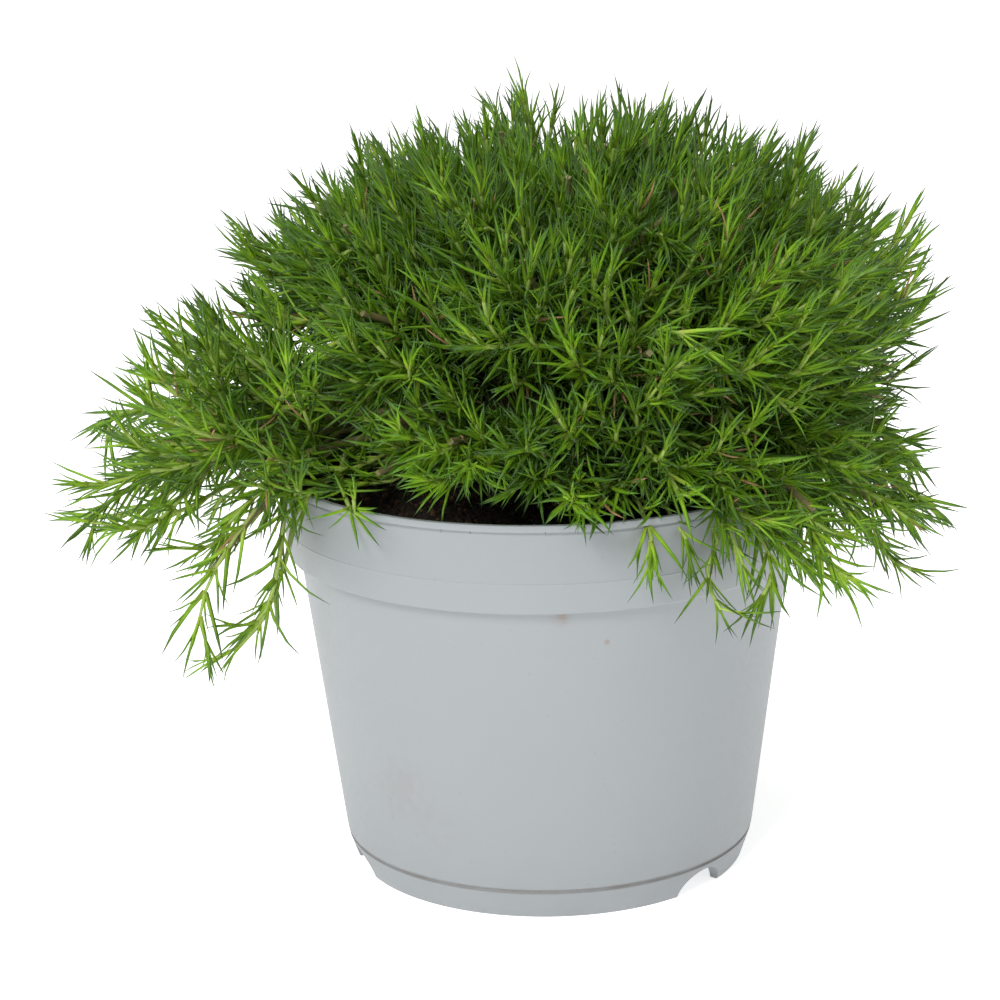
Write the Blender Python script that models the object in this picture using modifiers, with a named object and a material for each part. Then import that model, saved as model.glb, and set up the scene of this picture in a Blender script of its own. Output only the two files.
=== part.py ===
# Potted pearlwort: a cushion of needle-leaved shoots that spills over the rim of a nursery pot.
# Metres, +Z up. The origin is the middle of the plant's footprint, on the surface it stands on.

import math
import random

import bmesh
import bpy
from mathutils import Matrix, Vector, noise

MM = 0.001
GAP = 0.3 * MM
MERGE = 0.01 * MM

# The pot stands off the origin, because the cushion leans back and to the left of it
POT_AXIS = Vector((7.0 * MM, -15.0 * MM, 0.0))
POT_HEIGHT = 92.5 * MM
RIM_RADIUS = 60.0 * MM
LIP_HEIGHT = 1.5 * MM
LIP_OVERHANG = 0.4 * MM
COLLAR_HEIGHT = 19.9 * MM
COLLAR_FOOT_RADIUS = 57.5 * MM
BODY_TOP_RADIUS = 54.9 * MM
BODY_FOOT_RADIUS = 46.3 * MM
FOOT_HEIGHT = 6.2 * MM
FOOT_RADIUS = 44.0 * MM
FOOT_WALL = 2.0 * MM
GROOVE_DEPTH = 0.5 * MM
GROOVE_HEIGHT = 0.9 * MM
WALL = 1.3 * MM
EDGE_BEVEL = 0.3 * MM
POT_SEGMENTS = 48
ARCH_AZIMUTHS = (48.0, 168.0, -72.0)
ARCH_WIDTH = 14.0 * MM
ARCH_HEIGHT = 5.2 * MM
DRAIN_HOLES = 5
DRAIN_RADIUS = 3.5 * MM
DRAIN_CIRCLE = 28.0 * MM

ARCH_SIDES = 12
DRAIN_SIDES = 8

SOIL_LEVEL = 84.3 * MM
SOIL_RELIEF = 1.3 * MM
SOIL_SEGMENTS = 28
SOIL_RINGS = (0.0, 0.2, 0.4, 0.6, 0.8, 0.93)
ROOT_HOLE_SIDES = 14

# The root crown, where every spray starts
CROWN = POT_AXIS + Vector((5.0 * MM, 15.0 * MM, 98.0 * MM))
CROWN_RADIUS = 13.0 * MM
CROWN_SEGMENTS = 16
CROWN_TILTS = (22.5, 45.0, 67.5, 90.0, 112.5, 135.0)
CROWN_KNOTS = 0.03
TAP_RADIUS = 5.6 * MM
TAP_DEPTH = 30.0 * MM

# The cushion: how far its stems reach from the crown, straight up and sideways
TOP_REACH = 62.5 * MM
SIDE_REACH = 88.0 * MM
TOP_SPRAYS = 25
TOP_TILT = 73.0
TOP_TURN = 90.0
HIGH_SPRAYS = 16
TOP_SEED = 200
RIM_SEED = 600
REACH_SPREAD = 7.0 * MM
CELL_MARGIN = 0.3 * MM
STEM_MARGIN = 2.2 * MM
ROOT_MARGIN = 1.6 * MM
TUFT_MARGIN = 3.2 * MM
STALK_MARGIN = 1.3 * MM
NEEDLE_MARGIN = 0.6 * MM
SHOULDER_RISE = 16.0 * MM
SHOULDER_PAST_RIM = 5.0 * MM
BASE_RISE = 9.0 * MM
TRAILING_HEIGHT = 70.0 * MM
TRAILING_LIFT = 0.6

STEM_RADIUS = 1.9 * MM
CORE_RADIUS = 3.2 * MM
RIM_CORE_RADIUS = 1.9 * MM
SHOOT_RADIUS = 0.75 * MM
SHOOT_LENGTH = 9.5 * MM
GOLDEN_TURN = math.pi * (3.0 - math.sqrt(5.0))
TUFT_RADIUS = 1.15 * MM
TUFT_STRETCH = 1.9
NEEDLE_LENGTH = 9.0 * MM
NEEDLE_SPACING = 1.5 * MM
NEEDLES = 11

# Where a stem has a ring of points: how far along it is, and how much of the core's swelling it has
TOP_RINGS = ((0.0, 0.0), (0.3, 0.2), (0.55, 1.0), (0.8, 0.8), (1.0, 0.0))
RIM_RINGS = ((0.0, 0.0), (0.3, 0.4), (0.5, 1.0), (0.68, 0.8), (0.84, 0.3), (1.0, 0.0))

# Sprays round the rim: azimuth from the front and to the right, how far the tip reaches from the
# crown's axis, how high it ends, and the number of leaf tufts along it
RIM_SPRAYS = (
    (-104.0, 88.0, 92.0, 4),
    (-90.0, 96.0, 96.0, 4),
    (-79.0, 102.0, 80.0, 5),
    (-67.0, 113.0, 85.0, 6),
    (-54.0, 102.0, 57.0, 6),
    (-35.0, 76.0, 99.0, 4),
    (-19.0, 78.0, 110.0, 4),
    (-3.0, 78.0, 107.0, 4),
    (13.0, 76.0, 88.0, 5),
    (28.0, 84.0, 77.0, 5),
    (43.0, 82.0, 77.0, 5),
    (59.0, 82.0, 77.0, 5),
    (76.0, 80.0, 82.0, 4),
    (94.0, 80.0, 87.0, 4),
    (116.0, 79.0, 90.0, 4),
    (141.0, 78.0, 86.0, 4),
    (166.0, 78.0, 84.0, 4),
    (191.0, 79.0, 87.0, 4),
    (216.0, 79.0, 84.0, 4),
    (238.0, 82.0, 88.0, 4),
)


def make_collection(name, parent):
    collection = bpy.data.collections.new(name)
    parent.children.link(collection)
    return collection


def make_finish(name, colour, roughness):
    finish = bpy.data.materials.new(name)
    finish.use_nodes = True
    shader = finish.node_tree.nodes["Principled BSDF"]
    shader.inputs["Base Color"].default_value = (*colour, 1.0)
    shader.inputs["Roughness"].default_value = roughness
    shader.inputs["Metallic"].default_value = 0.0
    finish.diffuse_color = (*colour, 1.0)
    return finish


def add_object(name, mesh, collection, finish=None):
    piece = bpy.data.objects.new(name, mesh)
    collection.objects.link(piece)
    if finish:
        mesh.materials.append(finish)
    return piece


def baked(piece, collection):
    """The piece as its modifiers leave it, as a plain mesh in the same place."""
    bpy.context.view_layer.update()
    evaluated = piece.evaluated_get(bpy.context.evaluated_depsgraph_get())
    mesh = bpy.data.meshes.new_from_object(evaluated)
    place = piece.matrix_world.copy()
    name = piece.name
    bpy.data.objects.remove(piece, do_unlink=True)
    piece = bpy.data.objects.new(name, mesh)
    piece.matrix_world = place
    collection.objects.link(piece)
    return piece


def compass(azimuth, tilt):
    """A direction: azimuth from the front towards the right, tilt from straight up, in degrees."""
    turn, lean = math.radians(azimuth), math.radians(tilt)
    level = math.sin(lean)
    return Vector((level * math.sin(turn), -level * math.cos(turn), math.cos(lean)))


def turned(name, profile, segments, collection, finish):
    """A profile of (radius, height) points spun round the pot's axis."""
    mesh = bpy.data.meshes.new(name)
    edges = [(i, i + 1) for i in range(len(profile) - 1)]
    mesh.from_pydata([(radius, 0.0, height) for radius, height in profile], edges, [])
    piece = add_object(name, mesh, collection, finish)
    screw = piece.modifiers.new("Turn", "SCREW")
    screw.steps = segments
    screw.render_steps = segments
    screw.use_merge_vertices = True
    screw.merge_threshold = MERGE
    return piece


def add_cutter(name, bm, collection):
    mesh = bpy.data.meshes.new(name)
    bm.to_mesh(mesh)
    bm.free()
    cutter = add_object(name, mesh, collection)
    cutter.hide_render = True
    cutter.display_type = "WIRE"
    return cutter


def cut(piece, cutter):
    boolean = piece.modifiers.new(cutter.name, "BOOLEAN")
    boolean.operation = "DIFFERENCE"
    boolean.solver = "EXACT"
    boolean.object = cutter


def inner_wall_radius(height):
    """The pot's inner wall, which steps out behind the collar."""
    body_top = POT_HEIGHT - COLLAR_HEIGHT
    if height < body_top + WALL:
        share = (height - FOOT_HEIGHT) / (body_top - FOOT_HEIGHT)
        return BODY_FOOT_RADIUS + (BODY_TOP_RADIUS - BODY_FOOT_RADIUS) * share - WALL
    share = (height - body_top) / COLLAR_HEIGHT
    return COLLAR_FOOT_RADIUS + (RIM_RADIUS - COLLAR_FOOT_RADIUS) * share - WALL


def pot_profile():
    """From the middle of the floor up the inside, over the rim and down the outside."""
    body_top = POT_HEIGHT - COLLAR_HEIGHT
    floor = FOOT_HEIGHT + WALL
    ledge = body_top + WALL
    bevel = EDGE_BEVEL
    lip = POT_HEIGHT - LIP_HEIGHT
    groove = FOOT_HEIGHT + GROOVE_HEIGHT
    wall_under_lip = RIM_RADIUS - LIP_OVERHANG
    return [
        (0.0, floor),
        (inner_wall_radius(floor), floor),
        (inner_wall_radius(ledge - MERGE), ledge),
        (inner_wall_radius(ledge + MERGE), ledge),
        (RIM_RADIUS - WALL, POT_HEIGHT),
        (RIM_RADIUS - bevel, POT_HEIGHT),
        (RIM_RADIUS, POT_HEIGHT - bevel),
        (RIM_RADIUS, lip),
        (wall_under_lip, lip - bevel),
        (COLLAR_FOOT_RADIUS + bevel, body_top + 3 * bevel),
        (COLLAR_FOOT_RADIUS - bevel, body_top),
        (BODY_TOP_RADIUS, body_top),
        (BODY_FOOT_RADIUS, groove),
        (BODY_FOOT_RADIUS - GROOVE_DEPTH, (groove + FOOT_HEIGHT) / 2),
        (BODY_FOOT_RADIUS - GROOVE_DEPTH / 2, FOOT_HEIGHT),
        (FOOT_RADIUS, 0.0),
        (FOOT_RADIUS - FOOT_WALL, 0.0),
        (FOOT_RADIUS - FOOT_WALL, FOOT_HEIGHT - WALL / 2),
        (0.0, FOOT_HEIGHT - WALL / 2),
    ]


def make_pot(collection, cutters):
    finish = make_finish("pale_plastic", (0.47, 0.52, 0.55), 0.55)
    pot = turned("pot", pot_profile(), POT_SEGMENTS, collection, finish)
    pot.location = POT_AXIS

    arches = bmesh.new()
    for azimuth in ARCH_AZIMUTHS:
        outward = compass(azimuth, 90.0)
        place = Matrix.Translation(POT_AXIS + outward * FOOT_RADIUS) @ outward.to_track_quat(
            "Z", "Y"
        ).to_matrix().to_4x4()
        oval = Matrix.Diagonal((ARCH_WIDTH / 2, ARCH_HEIGHT, 1.0, 1.0))
        bmesh.ops.create_cone(
            arches,
            segments=ARCH_SIDES,
            radius1=1.0,
            radius2=1.0,
            depth=12.0 * MM,
            cap_ends=True,
            matrix=place @ oval,
        )
    cut(pot, add_cutter("foot_arches", arches, cutters))

    holes = bmesh.new()
    for number in range(DRAIN_HOLES):
        spot = compass(360.0 * number / DRAIN_HOLES, 90.0) * DRAIN_CIRCLE
        bmesh.ops.create_cone(
            holes,
            segments=DRAIN_SIDES,
            radius1=DRAIN_RADIUS,
            radius2=DRAIN_RADIUS,
            depth=6.0 * MM,
            cap_ends=True,
            matrix=Matrix.Translation(POT_AXIS + spot + Vector((0.0, 0.0, FOOT_HEIGHT))),
        )
    cut(pot, add_cutter("drain_holes", holes, cutters))
    return pot


def make_soil(collection, cutters):
    """Peat that fills the pot to a little under the collar's top, with a hole for the root."""
    facet = math.cos(math.pi / POT_SEGMENTS)
    floor = FOOT_HEIGHT + WALL + GAP
    ledge = POT_HEIGHT - COLLAR_HEIGHT + WALL + GAP
    sides = [
        (inner_wall_radius(floor) * facet - GAP, floor),
        (inner_wall_radius(ledge - 2 * GAP) * facet - GAP, ledge),
        (inner_wall_radius(ledge + GAP) * facet - GAP, ledge),
        (inner_wall_radius(SOIL_LEVEL) * facet - GAP, SOIL_LEVEL),
    ]
    edge = sides[-1][0]
    rings = [(edge * share, SOIL_LEVEL) for share in SOIL_RINGS]
    finish = make_finish("dark_peat", (0.035, 0.022, 0.015), 0.95)
    profile = rings + sides[::-1] + [(0.0, floor)]
    soil = turned("soil", profile, SOIL_SEGMENTS, collection, finish)
    soil.location = POT_AXIS
    soil = baked(soil, collection)
    for vertex in soil.data.vertices:
        radius = vertex.co.xy.length
        if vertex.co.z > SOIL_LEVEL - MERGE and radius < edge - MERGE:
            vertex.co.z += SOIL_RELIEF * noise.noise(vertex.co * 55.0 + Vector((3.1, 1.7, 0.4)))

    hole = bmesh.new()
    bmesh.ops.create_cone(
        hole,
        segments=ROOT_HOLE_SIDES,
        radius1=TAP_RADIUS + 2 * GAP,
        radius2=TAP_RADIUS + 2 * GAP,
        depth=2 * TAP_DEPTH,
        cap_ends=True,
        matrix=Matrix.Translation((CROWN.x, CROWN.y, SOIL_LEVEL)),
    )
    cut(soil, add_cutter("root_hole", hole, cutters))
    return soil


def make_rootstock(collection):
    """A knotty ball of old stems on a tap root that stands in the soil's hole."""
    finish = make_finish("woody_root", (0.16, 0.12, 0.06), 0.9)
    neck = math.sqrt(CROWN_RADIUS**2 - TAP_RADIUS**2)
    tap_foot = SOIL_LEVEL - TAP_DEPTH + 2 * GAP - CROWN.z
    ball = [(0.0, CROWN_RADIUS)]
    ball += [
        (CROWN_RADIUS * math.sin(math.radians(tilt)), CROWN_RADIUS * math.cos(math.radians(tilt)))
        for tilt in CROWN_TILTS
    ]
    tap = [(TAP_RADIUS, -neck), (TAP_RADIUS * 0.9, -neck - 12 * MM), (TAP_RADIUS * 0.4, tap_foot)]
    profile = ball + tap + [(0.0, tap_foot)]
    root = turned("rootstock", profile, CROWN_SEGMENTS, collection, finish)
    root.location = CROWN
    root = baked(root, collection)
    for vertex in root.data.vertices:
        vertex.co *= 1.0 - CROWN_KNOTS * abs(noise.noise(vertex.co * 210.0))
    return root


def pot_clearance(point):
    """How far a point is above the pot's rim or outside its wall, whichever is more."""
    radius = (point - POT_AXIS).xy.length
    return max(point.z - POT_HEIGHT, radius - RIM_RADIUS)


class Cell:
    """The wedge of space round the crown that belongs to one spray, bounded by its neighbours'."""

    def __init__(self, heading, headings):
        self.heading = heading
        self.walls = [(heading - other).normalized() for other in headings if other is not heading]

    def room(self, point):
        """The distance to the nearest thing that the spray has to stay clear of."""
        offset = point - CROWN
        return min(min(offset.dot(wall) for wall in self.walls), pot_clearance(point))

    def fits(self, start, end, margin):
        """Whether the whole line from start to end stays inside."""
        return all(self.room(start.lerp(end, share)) >= margin for share in (0.3, 0.55, 0.8, 1.0))

    def drawn_in(self, point, margin):
        """The point, moved towards the cell's middle line and up until it is inside."""
        for _ in range(40):
            if self.room(point) >= margin:
                break
            distance = (point - CROWN).length
            if pot_clearance(point) < margin:
                point = point + Vector((0.0, 0.0, 1.0 * MM))
            else:
                offset = (point - CROWN).normalized().lerp(self.heading, 0.12)
                point = CROWN + offset.normalized() * distance
        return point


def bezier(points, share):
    while len(points) > 1:
        points = [first.lerp(second, share) for first, second in zip(points, points[1:])]
    return points[0]


def add_tube(name, points, radii, sides, collection):
    """A closed tapering stem through the points."""
    bm = bmesh.new()
    rings = []
    for index, (point, radius) in enumerate(zip(points, radii)):
        before = points[max(index - 1, 0)]
        after = points[min(index + 1, len(points) - 1)]
        turn = (after - before).to_track_quat("Z", "Y").to_matrix().to_4x4()
        ring = bmesh.ops.create_circle(
            bm, segments=sides, radius=radius, matrix=Matrix.Translation(point) @ turn
        )
        rings.append(list({edge for vertex in ring["verts"] for edge in vertex.link_edges}))
    for lower, upper in zip(rings, rings[1:]):
        bmesh.ops.bridge_loops(bm, edges=lower + upper)
    bmesh.ops.holes_fill(bm, edges=rings[0] + rings[-1], sides=sides)
    return closed_piece(name, bm, collection)


def closed_piece(name, bm, collection):
    bmesh.ops.triangulate(bm, faces=bm.faces)
    bmesh.ops.recalc_face_normals(bm, faces=bm.faces)
    mesh = bpy.data.meshes.new(name)
    bm.to_mesh(mesh)
    bm.free()
    return add_object(name, mesh, collection)


def grow_stalk(bm, face, end, axis):
    """The stalk that carries a tuft, drawn out of its knot's rear face."""
    centre = face.calc_center_median()
    stalk = bmesh.ops.extrude_discrete_faces(bm, faces=[face])["faces"][0]
    for vertex in stalk.verts:
        spread = vertex.co - centre
        spread -= axis * spread.dot(axis)
        vertex.co = end + spread.normalized() * SHOOT_RADIUS


def grow_needle(bm, face, centre, outward, cell, draw, taken):
    """A leaf raised from one face of a tuft's knot, if there is room for it."""
    root = face.calc_center_median()
    normal = face.normal.copy()
    scatter = Vector([draw.uniform(-0.2, 0.2) for _ in range(3)])
    heading = (normal + outward * 0.5 + scatter).normalized()
    length = NEEDLE_LENGTH * draw.uniform(0.88, 1.1)
    for _ in range(7):
        tip = root + heading * length
        if cell.fits(root, tip, NEEDLE_MARGIN):
            break
        heading = (heading + cell.heading * 0.3 + Vector((0.0, 0.0, 0.1))).normalized()
    else:
        return
    spine = [root.lerp(tip, share) for share in (0.35, 0.5, 0.65, 0.8, 1.0)]
    neighbours = sum(taken, [])
    crowded = any((mine - other).length < NEEDLE_SPACING for mine in spine for other in neighbours)
    if crowded or heading.dot(normal) < 0.6:
        return
    taken.append(spine)
    needle = bmesh.ops.extrude_discrete_faces(bm, faces=[face])["faces"][0]
    bmesh.ops.pointmerge(bm, verts=needle.verts, merge_co=tip)


def add_tuft(name, centre, outward, cell, needles, draw, collection, stalk_root=None):
    """A node of the stem with its leaves: a small knot whose faces grow into needles, and into
    the stalk that it stands on."""
    bm = bmesh.new()
    turn = outward.to_track_quat("Z", "Y").to_matrix().to_4x4()
    spin = Matrix.Rotation(draw.uniform(0.0, math.tau), 4, "Z")
    stretch = Matrix.Diagonal((1.0, 1.0, TUFT_STRETCH, 1.0))
    place = Matrix.Translation(centre) @ turn @ stretch @ spin
    bmesh.ops.create_icosphere(bm, subdivisions=1, radius=TUFT_RADIUS, matrix=place)
    faces = sorted(bm.faces, key=lambda f: -(f.calc_center_median() - centre).dot(outward))
    forward = faces[:5]
    sideways = faces[5:15]
    draw.shuffle(forward)
    draw.shuffle(sideways)
    order = forward[:2] + sideways[:1] + forward[2:] + sideways[1:]
    if stalk_root:
        grow_stalk(bm, faces[-1], stalk_root, outward)
    taken = []
    for face in order:
        if len(taken) < needles:
            grow_needle(bm, face, centre, outward, cell, draw, taken)
    return closed_piece(name, bm, collection)


def joined(pieces, workbench):
    """All the pieces as one body."""
    first, rest = pieces[0], pieces[1:]
    bench = make_collection("joining", workbench)
    for piece in rest:
        workbench.objects.unlink(piece)
        bench.objects.link(piece)
    union = first.modifiers.new("Join", "BOOLEAN")
    union.operation = "UNION"
    union.solver = "MANIFOLD"
    union.operand_type = "COLLECTION"
    union.collection = bench
    bpy.context.view_layer.update()
    evaluated = first.evaluated_get(bpy.context.evaluated_depsgraph_get())
    mesh = bpy.data.meshes.new_from_object(evaluated)
    for piece in pieces:
        bpy.data.objects.remove(piece, do_unlink=True)
    bpy.data.collections.remove(bench)
    return mesh


def main_body(mesh):
    """Drops sealed hollows and loose scraps, and keeps the largest closed surface."""
    bm = bmesh.new()
    bm.from_mesh(mesh)
    unseen = set(bm.verts)
    bodies = []
    while unseen:
        front = [unseen.pop()]
        body = set(front)
        while front:
            for edge in front.pop().link_edges:
                for vertex in edge.verts:
                    if vertex in unseen:
                        unseen.discard(vertex)
                        body.add(vertex)
                        front.append(vertex)
        bodies.append(body)
    largest = max(bodies, key=len)
    spare = [vertex for body in bodies if body is not largest for vertex in body]
    bmesh.ops.delete(bm, geom=spare, context="VERTS")
    bm.to_mesh(mesh)
    bm.free()


def make_spray(name, route, rings, core, tufts, cell, draw, workbench):
    """A stem with a slim leafy core, side shoots and tufts of needles, joined in one body."""
    path, radii = [], []
    for share, swell in rings:
        point = bezier(route, share)
        if path:
            point = cell.drawn_in(point, STEM_MARGIN)
        path.append(point)
        taper = STEM_RADIUS + (SHOOT_RADIUS - STEM_RADIUS) * share
        radii.append(min(taper + core * swell, cell.room(point) - CELL_MARGIN))
    pieces = [add_tube(name + "_stem", path, radii, 5, workbench)]

    end = path[-1]
    forward = (path[-1] - path[-2]).normalized()
    pieces.append(add_tuft(name + "_end", end, forward, cell, NEEDLES + 1, draw, workbench))

    side = forward.orthogonal().normalized()
    turn = draw.uniform(0.0, math.tau)
    for number in range(tufts - 1):
        share = 0.92 - 0.5 * (number + draw.random() * 0.5) / (tufts - 1)
        root = cell.drawn_in(bezier(path[:1] + route[1:-1] + [end], share), ROOT_MARGIN)
        reach = draw.uniform(0.85, 1.1) * SHOOT_LENGTH + core
        farthest = (end - CROWN).length - draw.random() * REACH_SPREAD
        for _ in range(8):
            turn += GOLDEN_TURN
            across = Matrix.Rotation(turn, 3, forward) @ side
            lean = (across + forward * 0.75 + Vector((0.0, 0.0, 0.2))).normalized()
            offset = root + lean * reach - CROWN
            knot = CROWN + offset.normalized() * min(offset.length, farthest)
            knot = cell.drawn_in(knot, TUFT_MARGIN)
            if cell.fits(root, knot, STALK_MARGIN):
                break
        else:
            continue
        outward = (knot - root).normalized()
        pieces.append(add_tuft(name + "_tuft", knot, outward, cell, NEEDLES, draw, workbench, root))

    mesh = joined(pieces, workbench)
    main_body(mesh)
    mesh.name = name
    mesh.materials.clear()
    return mesh


def rim_distance(azimuth):
    """How far the rim is from the crown's axis, in one direction."""
    outward = compass(azimuth, 90.0)
    offset = (CROWN - POT_AXIS).xy
    along = offset.dot(outward.xy)
    return -along + math.sqrt(along**2 + RIM_RADIUS**2 - offset.length_squared)


def make_sprays(collection, workbench):
    finish = make_finish("green_foliage", (0.10, 0.26, 0.035), 0.6)
    top_headings = []
    for number in range(TOP_SPRAYS):
        share = (number + 0.5) / TOP_SPRAYS
        tilt = math.degrees(math.acos(1.0 - (1.0 - math.cos(math.radians(TOP_TILT))) * share))
        top_headings.append(compass(TOP_TURN + math.degrees(GOLDEN_TURN) * number, tilt))
    rim_headings = []
    for azimuth, reach, height, _ in RIM_SPRAYS:
        rise = max(POT_HEIGHT + BASE_RISE - CROWN.z, (height * MM - CROWN.z) * 0.9)
        tilt = 90.0 - math.degrees(math.atan2(rise, rim_distance(azimuth)))
        rim_headings.append(compass(azimuth, tilt))
    headings = top_headings + rim_headings
    base = CROWN_RADIUS + GAP

    for number, heading in enumerate(top_headings):
        draw = random.Random(TOP_SEED + number)
        level = heading.xy.length
        reach = TOP_REACH + (SIDE_REACH - TOP_REACH) * level - draw.random() * REACH_SPREAD
        end = CROWN + (heading + Vector((0.0, 0.0, 0.06))).normalized() * reach
        route = [CROWN + heading * base, CROWN + heading * reach * 0.6, end]
        cell = Cell(heading, headings)
        name = f"top_spray_{number + 1:02d}"
        tufts = 4 if number < HIGH_SPRAYS else 5
        mesh = make_spray(name, route, TOP_RINGS, CORE_RADIUS, tufts, cell, draw, workbench)
        add_object(name, mesh, collection, finish)

    for number, (azimuth, reach, height, tufts) in enumerate(RIM_SPRAYS):
        draw = random.Random(RIM_SEED + number)
        heading = rim_headings[number]
        outward = compass(azimuth, 90.0)
        past_rim = rim_distance(azimuth) + SHOULDER_PAST_RIM
        shoulder = CROWN + outward * max(past_rim, 0.85 * reach * MM)
        hang = max(0.0, TRAILING_HEIGHT - height * MM)
        shoulder.z = max(POT_HEIGHT + SHOULDER_RISE, height * MM) + hang * TRAILING_LIFT
        end = CROWN + outward * reach * MM
        end.z = height * MM
        route = [CROWN + heading * base, CROWN + heading * 40.0 * MM, shoulder, end]
        cell = Cell(heading, headings)
        name = f"rim_spray_{number + 1:02d}"
        mesh = make_spray(name, route, RIM_RINGS, RIM_CORE_RADIUS, tufts, cell, draw, workbench)
        add_object(name, mesh, collection, finish)


def build():
    for piece in list(bpy.data.objects):
        bpy.data.objects.remove(piece, do_unlink=True)
    scene = bpy.context.scene.collection
    collection = make_collection("potted_pearlwort", scene)
    cutters = make_collection("cutters", scene)
    workbench = make_collection("workbench", scene)
    make_pot(collection, cutters)
    make_soil(collection, cutters)
    make_rootstock(collection)
    make_sprays(collection, workbench)
    bpy.data.collections.remove(workbench)


build()
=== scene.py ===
import math
import random

import bmesh
import bpy
from mathutils import Matrix, Vector, noise
from mathutils.kdtree import KDTree


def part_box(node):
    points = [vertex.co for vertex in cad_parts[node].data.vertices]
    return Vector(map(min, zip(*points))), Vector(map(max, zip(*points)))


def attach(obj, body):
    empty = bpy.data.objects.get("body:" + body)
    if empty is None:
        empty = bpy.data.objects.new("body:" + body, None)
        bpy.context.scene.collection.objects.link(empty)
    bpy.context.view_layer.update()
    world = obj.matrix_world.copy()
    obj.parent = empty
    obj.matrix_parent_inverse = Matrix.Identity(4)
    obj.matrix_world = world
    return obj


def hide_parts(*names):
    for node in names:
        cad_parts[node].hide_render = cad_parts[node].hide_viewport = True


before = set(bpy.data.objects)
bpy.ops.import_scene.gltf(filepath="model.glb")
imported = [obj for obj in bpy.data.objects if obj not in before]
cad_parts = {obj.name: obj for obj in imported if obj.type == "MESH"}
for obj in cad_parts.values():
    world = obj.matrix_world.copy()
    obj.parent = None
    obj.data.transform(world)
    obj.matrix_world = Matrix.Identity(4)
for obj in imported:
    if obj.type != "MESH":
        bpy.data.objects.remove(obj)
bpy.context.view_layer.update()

mm = 0.001
goldenTurn = math.pi * (3 - math.sqrt(5))
scene = bpy.context.scene

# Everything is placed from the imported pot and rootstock
potLow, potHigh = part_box("pot")
potAxis = Vector(((potLow.x + potHigh.x) / 2, (potLow.y + potHigh.y) / 2, 0))
rimHeight = potHigh.z
rimRadius = (potHigh.x - potLow.x) / 2
soilLow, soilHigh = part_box("soil")
rootLow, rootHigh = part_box("rootstock")
crown = Vector(((rootLow.x + rootHigh.x) / 2, (rootLow.y + rootHigh.y) / 2, rootHigh.z - 13 * mm))
print("frame: pot, soil, rootstock and", len(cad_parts) - 3, "sprays")


def feed(tree, socket, value):
    if isinstance(value, bpy.types.NodeSocket):
        tree.links.new(value, socket)
    else:
        socket.default_value = value


def put(tree, kind, feeds=None, **settings):
    node = tree.nodes.new(kind)
    node.location.x = 190 * len(tree.nodes)
    for name, value in settings.items():
        setattr(node, name, value)
    for key, value in (feeds or {}).items():
        feed(tree, node.inputs[key], value)
    return node


def calc(tree, operation, first, second=0.0, clamp=False):
    return put(tree, "ShaderNodeMath", {0: first, 1: second}, operation=operation, use_clamp=clamp).outputs[0]


def vectorCalc(tree, operation, first, second=(0, 0, 0)):
    return put(tree, "ShaderNodeVectorMath", {0: first, 1: second}, operation=operation).outputs[0]


def ranged(tree, value, fromLow, fromHigh, toLow=0.0, toHigh=1.0, curve="LINEAR"):
    feeds = {0: value, 1: fromLow, 2: fromHigh, 3: toLow, 4: toHigh}
    return put(tree, "ShaderNodeMapRange", feeds, interpolation_type=curve).outputs[0]


def startTree(name, kind, inputs, outputs):
    tree = bpy.data.node_groups.new(name, kind)
    for label, (socketKind, value) in inputs.items():
        socket = tree.interface.new_socket(label, in_out="INPUT", socket_type="NodeSocket" + socketKind)
        if value is not None:
            socket.default_value = value
    for label, socketKind in outputs.items():
        tree.interface.new_socket(label, in_out="OUTPUT", socket_type="NodeSocket" + socketKind)
    return tree, tree.nodes.new("NodeGroupInput").outputs, tree.nodes.new("NodeGroupOutput").inputs


def addPiece(name, mesh, material=None):
    piece = bpy.data.objects.new(name, mesh)
    scene.collection.objects.link(piece)
    if material:
        mesh.materials.append(material)
    return piece


def settled(piece):
    # The piece with its modifiers worked in, as a plain mesh under the same name
    bpy.context.view_layer.update()
    mesh = bpy.data.meshes.new_from_object(piece.evaluated_get(bpy.context.evaluated_depsgraph_get()))
    name = piece.name
    bpy.data.objects.remove(piece, do_unlink=True)
    mesh.name = name
    return addPiece(name, mesh)


def grownBy(name, mesh, tree, values):
    # Runs a Geometry Nodes tree on a mesh and keeps the result as a plain mesh
    piece = addPiece(name, mesh)
    modifier = piece.modifiers.new("Grow", "NODES")
    modifier.node_group = tree
    for item in tree.interface.items_tree:
        if item.in_out == "INPUT" and item.name in values:
            modifier[item.identifier] = values[item.name]
    return settled(piece)


def placed(piece, slot, *nodes):
    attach(piece, "root")
    if nodes:
        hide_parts(*nodes)


# Stage: a pale floor, soft light and the camera at the photograph's angle

studio = {
    "focal": 109.77,  # mm on a 36 mm sensor
    "distance": 657.5 * mm,
    "height": 261 * mm,
    "yaw": -0.015,
    "pitch": 0.266,
    "roll": -0.022,
    "worldStrength": 0.5,
    "floorGlow": 0.62,
    "floorSize": 14.0,
    "lights": [  # name, place from the pot's axis, size, watts
        ("keyLight", (-0.5, -1.1, 1.0), 0.5, 14.0),
        ("topLight", (-0.1, 0.1, 1.5), 1.0, 9.0),
    ],
}


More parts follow.
